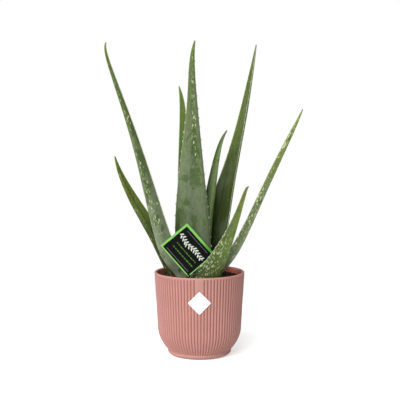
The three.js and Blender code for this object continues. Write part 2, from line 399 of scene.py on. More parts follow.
leafShape = {
    "across": 16, "step": 3.0, "fine": 400, "tipThickening": 0.22, "edge": 0.8, "wave": 0.05,
    "firstTooth": 14, "lastTooth": 0.94, "toothShrink": 0.55, "toothClear": 0.45,
    "tipRings": ((0.72, 0.35), (0.35, 0.65)),  # share of the last section, and mm ahead of it
}
# each pair is the distance along the margin in mm and the share of the tooth's height there
toothShape = ((-1.7, 0.10), (-0.9, 0.42), (0.15, 1.0), (0.55, 0.72), (1.0, 0.08))

# Along a leaf, 0 is its base and 1 its tip. Across it, -1 is its left margin and 1 its right one.
# The spine rows are the result of a fit, not drawn by hand.
# A spine row is x, y, z and width in mm. facing is the outer side's direction at base and tip.
# sides and innerSides: painted shade and light on the left, the middle and the right of a face, partly its
# own tone.
# rub: amount, how much more on the ridge, and where along the leaf that is.
# patches are rubbed free of the bloom: place along and across the leaf, then half length and half width.
# flecks: amount, how much more in one band, its place across and spread, and where along the leaf.
# teeth: distance from one to the next and height, in mm. rim: how pale the margin is.
# low, middle, high, tip, innerLow and inner: colours from base to tip, partly each leaf's own tone and
# partly painted shade and light; leaf_back_right's dark innerLow is painted shadow from the leaves in
# front, leaf_far_right's pale low is painted light.
leaves = {
    "leaf_front_right": {
        "facing": (-66, -54), "thick": 0.32, "channel": 0.14,
        "spine": ((4, -34, 106, 50), (19, -39, 132, 39.5), (55, -47, 185, 6.5), (66, -56, 263, 8.5),
                  (72, -66, 266, 3)),
        "low": (70, 80, 36), "middle": (124, 150, 73), "high": (172, 188, 76), "tip": (210, 170, 134),
        "deep": (72, 98, 30), "innerLow": (84, 104, 50), "inner": (96, 118, 58),
        "rub": (0.3, 0.0, 0.0, 1.0), "sides": (0.32, 0.68, 0.98), "innerSides": (1.0, 1.0, 1.0),
        "flecks": (0.9, 0.0, 0.0, 1.0, 0.0, 0.47), "fleckTint": (178, 191, 140), "fleckSize": 1.0,
        "teeth": (9.5, 1.9), "rim": 0.35, "gloss": 0.25,
        "patches": ()},
    "leaf_far_left": {
        "facing": (214, 204), "thick": 0.36, "channel": 0.16,
        "spine": ((-27, -10, 106, 36), (-25, -12, 165, 43.5), (-77, -15, 118, 54.5), (-54, -23, 187, 40),
                  (-83, -31, 351, 2), (-151, -36, 452, 12.5), (-139, -40, 479, 2)),
        "low": (164, 172, 148), "middle": (152, 166, 134), "high": (114, 138, 50), "tip": (144, 158, 56),
        "deep": (74, 104, 18), "innerLow": (70, 92, 44), "inner": (78, 104, 48),
        "rub": (0.5, 0.04, 0.3, 0.75), "sides": (1.0, 0.75, 0.42), "innerSides": (1.0, 1.0, 1.0),
        "flecks": (0.04, 0.65, 0.5, 0.34, 0.43, 0.86), "fleckTint": (194, 203, 154), "fleckSize": 1.0,
        "teeth": (15.0, 1.2), "rim": 0.4, "gloss": 0.3,
        "patches": ((0.62, 0.72, 0.03, 0.38), (0.555, 0.66, 0.02, 0.22), (0.71, 0.95, 0.03, 0.3))},
    "leaf_far_right": {
        "facing": (-28, -22), "thick": 0.34, "channel": 0.14,
        "spine": ((22, -2, 106, 34), (21, -6, 147, 29), (74, -11, 134, 33), (61, -17, 203, 5.5),
                  (119, -24, 294, 25), (155, -31, 380, 2)),
        "low": (208, 222, 196), "middle": (154, 175, 132), "high": (158, 178, 92), "tip": (198, 218, 116),
        "deep": (78, 108, 42), "innerLow": (76, 98, 44), "inner": (84, 110, 48),
        "rub": (0.45, 0.0, 0.0, 1.0), "sides": (0.46, 1.0, 0.6), "innerSides": (1.0, 1.0, 1.0),
        "flecks": (0.7, 0.6, -0.4, 0.6, 0.36, 1.0), "fleckTint": (214, 220, 174), "fleckSize": 1.1,
        "teeth": (14.0, 1.2), "rim": 0.35, "gloss": 0.3,
        "patches": ()},
    "leaf_front_centre": {
        "facing": (-92, -88), "thick": 0.28, "channel": 0.12,
        "spine": ((-7, 2, 106, 50), (-12, 2, 200, 69), (-21, 2, 298, 41), (2, 0, 368, 3.5),
                  (-21, -4, 433, 17), (-7, -12, 484, 2)),
        "low": (94, 109, 84), "middle": (134, 150, 111), "high": (112, 132, 70), "tip": (132, 154, 70),
        "deep": (70, 100, 30), "innerLow": (78, 98, 50), "inner": (84, 108, 54),
        "rub": (0.36, 0.0, 0.4, 0.8), "sides": (0.72, 0.55, 1.0), "innerSides": (1.0, 1.0, 1.0),
        "flecks": (0.0, 1.2, 0.2, 0.4, 0.5, 1.0), "fleckTint": (208, 216, 172), "fleckSize": 0.95,
        "teeth": (16.5, 2.6), "rim": 0.8, "gloss": 0.32,
        "patches": ((0.48, 0.34, 0.045, 0.36), (0.38, 0.3, 0.042, 0.42), (0.372, -0.5, 0.013, 0.25),
                    (0.24, -0.62, 0.022, 0.34), (0.2, -0.85, 0.02, 0.2), (0.22, 0.12, 0.02, 0.16),
                    (0.55, 0.25, 0.05, 0.22))},
    "leaf_left_short": {
        "facing": (166, 160), "thick": 0.34, "channel": 0.18,
        "spine": ((-33, 22, 106, 38), (-58, 24, 122, 48.5), (-52, 30, 182, 31), (-116, 34, 226, 29),
                  (-134, 39, 307, 2)),
        "low": (24, 30, 10), "middle": (56, 70, 24), "high": (98, 116, 34), "tip": (116, 128, 34),
        "deep": (58, 78, 22), "innerLow": (30, 46, 6), "inner": (122, 140, 50),
        "rub": (0.4, 0.0, 0.0, 1.0), "sides": (1.0, 1.0, 0.7), "innerSides": (0.88, 1.0, 0.54),
        "flecks": (0.22, 0.0, 0.0, 1.0, 0.0, 1.0), "fleckTint": (150, 164, 92), "fleckSize": 0.9,
        "teeth": (14.0, 1.1), "rim": 0.0, "gloss": 0.12,
        "patches": ()},
    "leaf_back_right": {
        "facing": (64, 34), "thick": 0.32, "channel": 0.18,
        "spine": ((14, 37, 106, 42.5), (36, 44, 241, 63), (45, 57, 255, 11.5), (69, 72, 335, 26),
                  (92, 88, 486, 2)),
        "low": (98, 120, 52), "middle": (104, 126, 50), "high": (110, 132, 48), "tip": (120, 138, 68),
        "deep": (66, 86, 30), "innerLow": (34, 48, 16), "inner": (90, 105, 50),
        "rub": (0.35, 0.0, 0.0, 1.0), "sides": (1.0, 1.0, 1.0), "innerSides": (0.73, 0.88, 1.0),
        "flecks": (0.01, 0.0, 0.0, 1.0, 0.0, 1.0), "fleckTint": (196, 206, 160), "fleckSize": 0.9,
        "teeth": (13.0, 1.9), "rim": 0.4, "gloss": 0.12,
        "patches": ((0.5, 0.31, 0.012, 0.15),)},
    "leaf_inner_curved": {
        "facing": (34, 22), "thick": 0.32, "channel": 0.12,
        "spine": ((13, 26, 106, 26), (1, 29, 184, 39.5), (28, 27, 252, 20.5), (21, 24, 317, 14.5),
                  (43, 23, 348, 2)),
        "low": (58, 74, 34), "middle": (102, 123, 64), "high": (160, 180, 126), "tip": (98, 114, 50),
        "deep": (76, 102, 40), "innerLow": (132, 160, 104), "inner": (88, 107, 50),
        "rub": (0.40, 0.0, 0.0, 1.0), "sides": (1.0, 1.0, 1.0), "innerSides": (1.0, 0.92, 0.4),
        "flecks": (0.01, 0.0, 0.0, 1.0, 0.0, 1.0), "fleckTint": (196, 206, 160), "fleckSize": 0.8,
        "teeth": (14.0, 1.0), "rim": 0.0, "gloss": 0.2,
        "patches": ()},
    "leaf_back_centre": {
        "facing": (112, 108), "thick": 0.34, "channel": 0.14,
        "spine": ((-13, 30, 106, 24), (-32, 40, 208, 25), (-29, 49, 300, 14), (-21, 58, 374, 17.5),
                  (-33, 64, 418, 2)),
        "low": (109, 132, 57), "middle": (118, 145, 57), "high": (126, 154, 57), "tip": (122, 136, 62),
        "deep": (84, 118, 42), "innerLow": (112, 128, 92), "inner": (99, 119, 51),
        "rub": (0.40, 0.0, 0.0, 1.0), "sides": (1.0, 1.0, 1.0), "innerSides": (0.87, 0.98, 1.0),
        "flecks": (0.03, 0.15, 0.0, 0.4, 0.5, 1.0), "fleckTint": (196, 206, 160), "fleckSize": 0.9,
        "teeth": (16.0, 1.2), "rim": 0.5, "gloss": 0.25,
        "patches": ()},
}


def bezier(rows, t):
    while len(rows) > 1:
        rows = [[p * (1 - t) + q * t for p, q in zip(a, b)] for a, b in zip(rows, rows[1:])]
    return rows[0]


def toothPushes(length, gapBetween, height, rng):  # tooth points along one margin, as distance and push
    pushes, s = [], leafShape["firstTooth"] + gapBetween * rng.random()
    while s < length * leafShape["lastTooth"]:
        tall = height * (1 - leafShape["toothShrink"] * s / length) * rng.uniform(0.75, 1.15)
        pushes += [(s + dx, share * tall) for dx, share in toothShape]
        s += gapBetween * rng.uniform(0.82, 1.2)
    return pushes


def leafStations(length, leaf, rng):  # distance along the leaf with the push of the right and left margin
    gapBetween, height = leaf["teeth"]
    stations = {}
    for side in (0, 1):
        for s, push in toothPushes(length, gapBetween, height, rng):
            stations.setdefault(round(s, 3), [0.0, 0.0])[side] = push
    teeth = sorted(stations)
    s = 0.0
    while s < length:
        if all(abs(s - other) > leafShape["toothClear"] for other in teeth):
            stations[round(s, 3)] = [0.0, 0.0]
        s += leafShape["step"]
    stations[round(length, 3)] = [0.0, 0.0]
    return sorted(stations.items())


def distancesAlong(rows):  # mm from the base, at even steps of the curve
    fine = leafShape["fine"]
    path = [Vector(bezier(rows, i / fine)[:3]) for i in range(fine + 1)]
    reach = [0.0]
    for a, b in zip(path, path[1:]):
        reach.append(reach[-1] + (b - a).length)
    return reach


# One section of a leaf, with left and right as seen from its outer side. Each point is its place across
# and outwards, its turn from the right margin to the left one, its sign (-1 on the hollow face) and how
# far in from the margin it lies.
def crescent(t, s, number, width, outer, inner, pushRight, pushLeft):
    count = leafShape["across"]
    half, edge = width / 2, leafShape["edge"] * (1 - t / 2)

    def spread(i):  # the outermost points of a face follow the teeth a little
        turn = i / count
        push = (pushRight if turn < 0.5 else pushLeft) * (0.3 if i in (0, count) else 0)
        sideways = math.cos(math.pi * turn) * half + math.copysign(push, 0.5 - turn)
        return turn, push, sideways, half * (1 - abs(math.cos(math.pi * turn)))

    section = []
    for i in range(count + 1):
        turn, push, sideways, inward = spread(i)
        swell = 1 + leafShape["wave"] * noise.noise(Vector((3 * turn, s / 38, number * 9.1)))
        bulge = outer * swell * math.sin(math.pi * turn)
        section.append((sideways, bulge + edge / 2, turn, 1, math.hypot(inward, bulge) - push))
    section.append((-half - 0.3 * edge - pushLeft, 0, 1.0, 1, -pushLeft - 0.05))
    for i in range(count, -1, -1):
        turn, push, sideways, inward = spread(i)
        section.append((sideways, inner * math.sin(math.pi * turn) - edge / 2, turn, -1, inward - push))
    section.append((half + 0.3 * edge + pushRight, 0, 0.0, 1, -pushRight - 0.05))
    return section


def growLeaf(name, leaf, number):
    rng = random.Random(name)
    rows = [list(row) for row in leaf["spine"]]
    legs = [[q - p for p, q in zip(a[:3], b[:3])] for a, b in zip(rows, rows[1:])]
    reach, fine = distancesAlong(rows), leafShape["fine"]
    points, place, trim, rings = [], [], [], []
    step = 0
    for s, (pushRight, pushLeft) in leafStations(reach[-1], leaf, rng):
        while step + 1 < fine and reach[step + 1] < s:
            step += 1
        t = min((step + (s - reach[step]) / (reach[step + 1] - reach[step])) / fine, 1.0)
        x, y, z, width = bezier(rows, t)
        along = Vector(bezier(legs, t)).normalized()
        angle = math.radians(leaf["facing"][0] + (leaf["facing"][1] - leaf["facing"][0]) * t)
        out = Vector((math.cos(angle), math.sin(angle), 0))
        out = (out - along * out.dot(along)).normalized()
        side = along.cross(out)
        outer = width * (leaf["thick"] + leafShape["tipThickening"] * t * t)
        inner = leaf["channel"] * width * (1 - t)
        origin = Vector((x, y, z)) - out * (outer + inner) / 2
        arc = math.pi * math.hypot(width / 2, outer) / math.sqrt(2)
        ring = []
        section = crescent(t, s, number, width, outer, inner, pushRight, pushLeft)
        for acrossPart, outPart, turn, face, gap in section:
            ring.append(len(points))
            points.append((origin + side * acrossPart + out * outPart) * mm)
            # the third value tells the faces apart, and gives each leaf its own pattern
            place.append(((0.5 - turn) * arc * mm, s * mm, (0.03 + 0.11 * number) * face))
            trim.append((t, gap, math.cos(math.pi * turn)))
        rings.append(ring)
    # A small rounded point closes the tip.
    centre = sum((Vector(points[i]) for i in rings[-1]), Vector()) / len(rings[-1])
    last = rings[-1]
    for shrink, ahead in leafShape["tipRings"]:
        ring = []
        for i in last:
            ring.append(len(points))
            points.append(centre + (Vector(points[i]) - centre) * shrink + along * ahead * mm)
            place.append(place[i])
            trim.append((1.0, 1.0, trim[i][2]))
        rings.append(ring)
    faces = joinRings(rings)
    faces += [tuple(rings[0]), tuple(reversed(rings[-1]))]
    piece = addPiece(name + "Skin", points, faces, [leafFinish(name, leaf)], [name])
    addChannel(piece, "leafPlace", "FLOAT_VECTOR", place)
    addChannel(piece, "leafTrim", "FLOAT_VECTOR", trim)
    return piece


def bloomAndPaintedLight(tree, leaf, rise, isOuter):  # from the soil to the tip, on both faces: the leaf's own tone with painted shade and light
    outer = colorAlong(tree, rise, [(0.0, paint(*leaf["low"])), (0.4, paint(*leaf["middle"])),
                                    (0.82, paint(*leaf["high"])), (1.0, paint(*leaf["tip"]))])
    hollow = colorAlong(tree, rise, [(0.1, paint(*leaf["innerLow"])), (0.75, paint(*leaf["inner"]))])
    return mixColor(tree, isOuter, hollow, outer)


def rubbedSpots(tree, leaf, place, patch, rise, crossing):  # where the bloom has been rubbed off
    amount, extra, start, end = leaf["rub"]
    ridge = times(tree, ramp(tree, calc(tree, "ABSOLUTE", crossing), 0.65, 0.25), extra)
    band = times(tree, ramp(tree, rise, start - 0.08, start + 0.02),
                ramp(tree, rise, end + 0.08, end - 0.04))
    ridge = times(tree, ridge, band)
    rubbed = ramp(tree, calc(tree, "ADD", patch, ridge), 0.68 - 0.2 * amount, 0.73 - 0.2 * amount)
    ragged = grain(tree, stretched(tree, place, (1, 0.7, 1)), 260, 4, 0.7)
    for alongLeaf, acrossLeaf, long, wide in leaf["patches"]:
        offLong = calc(tree, "DIVIDE", calc(tree, "SUBTRACT", rise, alongLeaf), long)
        offWide = calc(tree, "DIVIDE", calc(tree, "SUBTRACT", crossing, acrossLeaf), wide)
        squareWide = times(tree, offWide, offWide)
        away = calc(tree, "SQRT", calc(tree, "MULTIPLY_ADD", offLong, offLong, squareWide))
        away = calc(tree, "MULTIPLY_ADD", ragged, -3.6, calc(tree, "ADD", away, 1.75))
        rubbed = calc(tree, "MAXIMUM", rubbed, times(tree, ramp(tree, away, 1.14, 0.86), 0.9))
    return rubbed


def paintedSideShade(tree, leaf, crossing, isOuter):  # painted shade and light: a face is darker or lighter towards its margins, partly its own tone
    across = calc(tree, "MULTIPLY_ADD", crossing, 0.5, 0.5)
    shades = []
    for tones in (leaf["innerSides"], leaf["sides"]):
        stops = [(spot, (tone, tone, tone, 1)) for spot, tone in zip((0.08, 0.5, 0.92), tones)]
        shades.append(colorAlong(tree, across, stops))
    return mixColor(tree, isOuter, *shades)


def leafDashes(tree, bent, stretch, scale, reach, density):  # some of the cells, drawn out along the leaf
    away, chance = cells(tree, stretched(tree, bent, (1, stretch, 1)), scale)
    return times(tree, ramp(tree, away, *reach), calc(tree, "LESS_THAN", chance, density))


def paleFlecks(tree, leaf, place, rise, crossing):  # each one is a short dash along the leaf
    amount, extra, centre, spread, start, end = leaf["flecks"]
    offCentre = calc(tree, "ABSOLUTE", calc(tree, "SUBTRACT", crossing, centre))
    density = calc(tree, "ADD", ramp(tree, offCentre, spread, 0.3 * spread, 0.0, extra), amount)
    band = times(tree, ramp(tree, rise, start - 0.06, start + 0.04),
                ramp(tree, rise, end + 0.08, end - 0.06))
    density = times(tree, density, band)
    cloud = grain(tree, stretched(tree, place, (0.55, 1, 1)), 95, 2, 0.5, 0.4)
    density = times(tree, density, ramp(tree, cloud, 0.35, 0.62, 0.25, 1.35))
    bent = tree.nodes.new("ShaderNodeVectorMath")
    bent.operation = "MULTIPLY_ADD"
    wobble = tree.nodes.new("ShaderNodeTexNoise")
    wobble.inputs["Scale"].default_value = 420
    tree.links.new(place, wobble.inputs["Vector"])
    tree.links.new(wobble.outputs["Color"], bent.inputs[0])
    bent.inputs[1].default_value = (0.0011, 0.0016, 0)
    tree.links.new(place, bent.inputs[2])
    size = leaf["fleckSize"]
    large = leafDashes(tree, bent.outputs[0], 0.36, 380 / size, (0.42, 0.24), density)
    fewer = times(tree, density, 0.7)
    small = leafDashes(tree, bent.outputs[0], 0.45, 600 / size, (0.40, 0.22), fewer)
    return calc(tree, "MAXIMUM", large, times(tree, small, 0.75))


def leafFinish(name, leaf):
    material, tree, shader = newFinish(name + "Flesh", 0.5)
    place = channel(tree, "leafPlace")
    rise, gap, crossing = (channel(tree, "leafTrim", part) for part in (0, 1, 2))
    isOuter = ramp(tree, channel(tree, "leafPlace", 2), -0.01, 0.01)
    patch = grain(tree, stretched(tree, place, (1, 0.5, 1)), 85, 5, 0.62, 0.5)
    mottle = grain(tree, stretched(tree, place, (1, 0.45, 1)), 230, 5, 0.65)
    streak = grain(tree, stretched(tree, place, (1, 0.06, 1)), 620, 3)
    rubbed = rubbedSpots(tree, leaf, place, patch, rise, crossing)
    fleck = paleFlecks(tree, leaf, place, rise, crossing)

    # waxy bloom with painted shade and light, darker where it has been rubbed off
    skin = bloomAndPaintedLight(tree, leaf, rise, isOuter)
    skin = mixColor(tree, times(tree, rubbed, 0.8), skin, paint(*leaf["deep"]))
    skin = mixColor(tree, ramp(tree, mottle, 0.38, 0.68, 0.0, 0.45), skin, paint(*leaf["deep"]))
    bloom = grain(tree, stretched(tree, place, (1, 0.3, 1)), 48, 3)
    skin = mixColor(tree, ramp(tree, bloom, 0.5, 0.72, 0.0, 0.22), skin, paint(150, 164, 138))
    skin = mixColor(tree, ramp(tree, streak, 0.45, 0.75, 0.0, 0.07), skin, paint(196, 206, 176))
    # painted shade and light across each face
    skin = mixColor(tree, 1.0, skin, paintedSideShade(tree, leaf, crossing, isOuter), "MULTIPLY")
    skin = mixColor(tree, times(tree, fleck, 0.78), skin, paint(*leaf["fleckTint"]))

    # a few tiny dark scars, the pale margin and its teeth, and the part in the soil
    away, chance = cells(tree, place, 170)
    scar = times(tree, ramp(tree, away, 0.16, 0.07), calc(tree, "LESS_THAN", chance, 0.22))
    skin = mixColor(tree, times(tree, scar, 0.6), skin, paint(58, 80, 32))
    margin = times(tree, ramp(tree, gap, 1.1, 0.3), leaf["rim"])
    skin = mixColor(tree, times(tree, margin, 0.75), skin, paint(186, 200, 160))
    toothTint = ramp(tree, gap, 0.35, -0.2, 0.0, min(1, 1.3 * leaf["rim"]))
    skin = mixColor(tree, toothTint, skin, paint(242, 244, 214))
    buried = ramp(tree, calc(tree, "ADD", rise, times(tree, patch, 0.02)), 0.075, 0.05)
    skin = mixColor(tree, times(tree, buried, 0.5), skin, paint(70, 62, 40))
    tree.links.new(skin, shader.inputs["Base Color"])

    rough = calc(tree, "ADD", times(tree, rubbed, -0.12), 0.56)
    rough = calc(tree, "ADD", rough, times(tree, mottle, 0.08))
    tree.links.new(rough, shader.inputs["Roughness"])
    shader.inputs["Specular IOR Level"].default_value = leaf["gloss"]
    shader.inputs["Subsurface Weight"].default_value = 0.3
    shader.inputs["Subsurface Radius"].default_value = (0.6, 1.0, 0.3)
    shader.inputs["Subsurface Scale"].default_value = 0.006
    coarse = relief(tree, shader, mottle, 0.0003, 0.4)
    lines = relief(tree, shader, streak, 0.00008, 0.25, coarse)
    relief(tree, shader, fleck, 0.00012, 0.5, lines)
    return material


leafPieces = [growLeaf(name, leaf, number) for number, (name, leaf) in enumerate(leaves.items())]

print("aloe: soil, stem and roots")

soil = {
    "edgeHeight": 122.0, "middleHeight": 124.0, "gap": 0.3, "rings": 44, "sectors": 150,
    "lumpHeight": 1.3, "crumbs": 2400, "smallest": 0.35, "largest": 1.7, "fibres": 170,
    "crumbSpare": 1.4, "fibreSpare": 7, "fibreSteps": 7, "fibreSides": 5,
    "dark": (40, 29, 24), "brown": (82, 58, 42), "pale": (132, 104, 76), "fibre": (120, 84, 54),
}


def soilHeight(x, y):  # mm
    r = math.hypot(x, y)
    dome = soil["middleHeight"] - (soil["middleHeight"] - soil["edgeHeight"]) * smoothBetween(r, 34, 66)
    place = Vector((x, y, 5.0))
    lumps = noise.noise(place / 9) * 0.6 + noise.noise(place / 3.4) * 0.35 + noise.noise(place / 1.4) * 0.2
    return dome + soil["lumpHeight"] * lumps - 0.6


def buildSoilBed():
    count = soil["sectors"]
    wallAt = lambda z: potRadius(z) - pot["wall"] - soil["gap"]
    points, rings = [(0, 0, soilHeight(0, 0) * mm)], []
    for k in range(1, soil["rings"] + 1):
        r = wallAt(soil["edgeHeight"]) * k / soil["rings"]
        rings.append(range(len(points), len(points) + count))
        for i in range(count):
            x, y = r * math.cos(tau * i / count), r * math.sin(tau * i / count)
            points.append((x * mm, y * mm, soilHeight(x, y) * mm))
    for z in (110, 80, 42, 24, 10, pot["floor"] + soil["gap"]):
        rings.append(range(len(points), len(points) + count))
        for i in range(count):
            r = wallAt(z)
            points.append((r * math.cos(tau * i / count) * mm, r * math.sin(tau * i / count) * mm, z * mm))
    faces = joinRings(rings)
    faces += [(0, rings[0][i], rings[0][(i + 1) % count]) for i in range(count)]
    faces.append(tuple(rings[-1]))
    return addPiece("soilBed", points, faces, [soilFinish()], ["soil"])


def soilFinish():
    material, tree, shader = newFinish("dampPottingSoil", 0.9)
    shader.inputs["Specular IOR Level"].default_value = 0.3
    place = objectPlace(tree)
    lump = grain(tree, place, 260, 5, 0.65)
    fineGrain = grain(tree, place, 1300, 3, 0.6)
    away, chance = cells(tree, place, 420)
    shade = mixColor(tree, ramp(tree, lump, 0.42, 0.72), paint(*soil["dark"]), paint(*soil["brown"]))
    bit = times(tree, ramp(tree, away, 0.45, 0.25), calc(tree, "LESS_THAN", chance, 0.10))
    shade = mixColor(tree, times(tree, bit, 0.7), shade, paint(*soil["pale"]))
    tree.links.new(shade, shader.inputs["Base Color"])
    rough = ramp(tree, fineGrain, 0.3, 0.7, 0.72, 1.0)
    tree.links.new(rough, shader.inputs["Roughness"])
    below = relief(tree, shader, lump, 0.0012, 0.8)
    relief(tree, shader, fineGrain, 0.0004, 0.7, below)
    return material


def fibreFinish():
    material, tree, shader = newFinish("dryPeatFibre", 0.85)
    place = objectPlace(tree)
    mottle = grain(tree, place, 700, 3)
    shade = mixColor(tree, ramp(tree, mottle, 0.35, 0.65), paint(*soil["fibre"]), paint(*soil["brown"]))
    tree.links.new(shade, shader.inputs["Base Color"])
    relief(tree, shader, mottle, 0.0002, 0.6)
    return material


def lumpPattern(detail):  # the points and faces of a rough ball
    work = bmesh.new()
    bmesh.ops.create_icosphere(work, subdivisions=detail, radius=1)
    points = [v.co.copy() for v in work.verts]
    faces = [tuple(v.index for v in f.verts) for f in work.faces]
    work.free()
    return points, faces


def freeOfLeaves(spot, size, trees):
    for tree in trees:
        near, normal, _, distance = tree.find_nearest(spot)
        if near is None or distance >= 0.03:
            continue
        if distance < size * 0.6 or (spot - near).dot(normal) < 0:
            return False
    return True


def scatterCrumbs(trees):
    rng = random.Random(41)
    fineBall, roughBall = lumpPattern(2), lumpPattern(1)
    points, faces = [], []
    reachOut = potRadius(soil["edgeHeight"]) - pot["wall"] - soil["crumbSpare"]
    for number in range(soil["crumbs"]):
        angle, r = rng.uniform(0, tau), reachOut * math.sqrt(rng.random())
        size = soil["smallest"] + (soil["largest"] - soil["smallest"]) * rng.random() ** 2.6
        x, y = r * math.cos(angle), r * math.sin(angle)
        spot = Vector((x, y, soilHeight(x, y) + size * rng.uniform(-0.1, 0.5)))
        if not freeOfLeaves(spot * mm, size * mm, trees):
            continue
        spin = rng.uniform(0, tau)
        axis = Vector((rng.gauss(0, 1), rng.gauss(0, 1), rng.gauss(0, 1))).normalized()
        turn = Matrix.Rotation(spin, 3, axis)
        squash = Vector((rng.uniform(0.7, 1.3), rng.uniform(0.6, 1.1), rng.uniform(0.5, 0.95)))
        ball, ballFaces = fineBall if size > 1.0 else roughBall
        start = len(points)
        for p in ball:
            q = p * (1 + 0.38 * noise.noise(p * 1.7 + Vector((number, 0, 0))))
            q = turn @ Vector((q.x * squash.x, q.y * squash.y, q.z * squash.z))
            points.append((spot + q * size) * mm)
        faces += [tuple(start + i for i in face) for face in ballFaces]
    return addPiece("soilCrumbs", points, faces, [soilFinish()], [])


def scatterFibres(trees):
    rng = random.Random(7)
    points, faces = [], []
    reachOut = potRadius(soil["edgeHeight"]) - pot["wall"] - soil["fibreSpare"]
    steps, sides = soil["fibreSteps"], soil["fibreSides"]
    for _ in range(soil["fibres"]):
        angle, r = rng.uniform(0, tau), reachOut * math.sqrt(rng.random())
        spot = Vector((r * math.cos(angle), r * math.sin(angle), 0))
        heading, bend = rng.uniform(0, tau), rng.uniform(-0.25, 0.25)
        long, thick = rng.uniform(2.5, 10), rng.uniform(0.12, 0.3)
        rings = []
        if not freeOfLeaves((spot + Vector((0, 0, soilHeight(spot.x, spot.y)))) * mm, 2 * mm, trees):
            continue
        for k in range(steps + 1):
            z = soilHeight(spot.x, spot.y) + 0.35 + 0.5 * math.sin(math.pi * k / steps)
            radius = thick * (1 - 0.6 * abs(2 * k / steps - 1))
            sideways = Vector((-math.sin(heading), math.cos(heading), 0))
            rings.append(range(len(points), len(points) + sides))
            for c in range(sides):
                around = tau * c / sides
                offset = sideways * math.cos(around) * radius + Vector((0, 0, math.sin(around) * radius))
                points.append((Vector((spot.x, spot.y, z)) + offset) * mm)
            spot += Vector((math.cos(heading), math.sin(heading), 0)) * long / steps
            heading += bend
        faces += joinRings(rings) + [tuple(rings[0]), tuple(rings[-1])]
    return addPiece("peatFibres", points, faces, [fibreFinish()], [])


def stemFinish():
    material, tree, shader = newFinish("fibrousStem", 0.8)
    place = objectPlace(tree)
    streak = grain(tree, stretched(tree, place, (1, 1, 0.15)), 500, 4)
    shade = mixColor(tree, ramp(tree, streak, 0.3, 0.7), paint(150, 134, 92), paint(104, 84, 52))
    tree.links.new(shade, shader.inputs["Base Color"])
    relief(tree, shader, streak, 0.0006, 0.7)
    return material


leafTrees = []
for piece in leafPieces:
    bpy.context.view_layer.update()
    leafTrees.append(BVHTree.FromObject(piece, bpy.context.evaluated_depsgraph_get()))
buildSoilBed()
scatterCrumbs(leafTrees)
scatterFibres(leafTrees)
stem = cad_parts["crown_and_roots"]
stem.data.materials.clear()
stem.data.materials.append(stemFinish())

print("aloe: label and sticker")

label = {
    "side": 63.0, "thickness": 0.8, "centre": (-18, -31.6, 168), "backBorder": 2.4,
    "yaw": 28, "lean": 29, "roll": 13, "stakeWidth": 5.0, "stakeLength": 13.0,
    "corner": 1.2, "curl": 2.2, "cells": 28, "finePrint": 60,
    "panelLift": 0.04, "panelSink": 0.05, "chalkLift": 0.09, "inkLift": 0.08,
    "green": (130, 196, 94), "shadedCornerGreen": (70, 150, 48), "black": (8, 8, 9), "chalk": (214, 222, 206),
    "rule": (116, 118, 122), "dash": (84, 132, 52),
    "border": (3.5, 1.7, 1.7, 4.5),  # upper left, lower right, lower left and upper right edge
}


def labelFrame():
    turn = Matrix.Rotation(math.radians(label["yaw"]), 4, "Z")
    lean = Matrix.Rotation(math.radians(90 - label["lean"]), 4, "X")
    roll = Matrix.Rotation(math.radians(-label["roll"]), 4, "Z")
    return Matrix.Translation(Vector(label["centre"])) @ turn @ lean @ roll


# a runs along the writing direction, from the upper left edge to the lower right one,
# b runs from the lower left edge to the upper right one, and lift is height over the middle plane
def onCard(a, b, lift):
    root = math.sqrt(0.5)
    share = max(2 * a / label["side"], 0)
    bow = label["curl"] * share ** 2 * (1 - (b / 34) ** 2)
    return labelPlace @ Vector(((a + b) * root, (b - a) * root, lift + bow)) * mm


labelPlace = labelFrame()


def cardOutline(left, right, low, high, corner, steps=5):  # rounded rectangle in a and b
    outline = []
    for a, b, start in ((right, high, 0), (left, high, 90), (left, low, 180), (right, low, 270)):
        for k in range(steps + 1):
            angle = math.radians(start + 90 * k / steps)
            ca = a - corner if a > 0 else a + corner
            cb = b - corner if b > 0 else b + corner
            outline.append((ca + corner * math.cos(angle), cb + corner * math.sin(angle)))
    return outline


def addInlay(name, outlines, bottom, top, finish, rows=24):
    points, faces = [], []
    for outline in outlines:
        cut = bmesh.new()  # the outline is cut into narrow strips, so that it follows the card's bow
        loop = [cut.verts.new((a, b, 0)) for a, b in outline]
        cut.faces.new(loop)
        low, high = min(a for a, b in outline), max(a for a, b in outline)
        strips = max(1, round(rows * (high - low) / label["side"]))
        for k in range(1, strips):
            everything = list(cut.verts) + list(cut.edges) + list(cut.faces)
            bmesh.ops.bisect_plane(cut, geom=everything, plane_no=(1, 0, 0),
                                   plane_co=(low + (high - low) * k / strips, 0, 0))
        cut.verts.index_update()
        start, count = len(points), len(cut.verts)
        flat = [(v.co.x, v.co.y) for v in cut.verts]
        points += [onCard(a, b, top) for a, b in flat] + [onCard(a, b, bottom) for a, b in flat]
        for face in cut.faces:
            ids = [v.index for v in face.verts]
            faces.append(tuple(start + i for i in ids))
            faces.append(tuple(start + count + i for i in reversed(ids)))
        for line in cut.edges:
            if len(line.link_faces) == 1:
                i, j = (v.index for v in line.verts)
                faces.append((start + i, start + j, start + count + j, start + count + i))
        cut.free()
    return addPiece(name, points, faces, [finish], [], smooth=False)


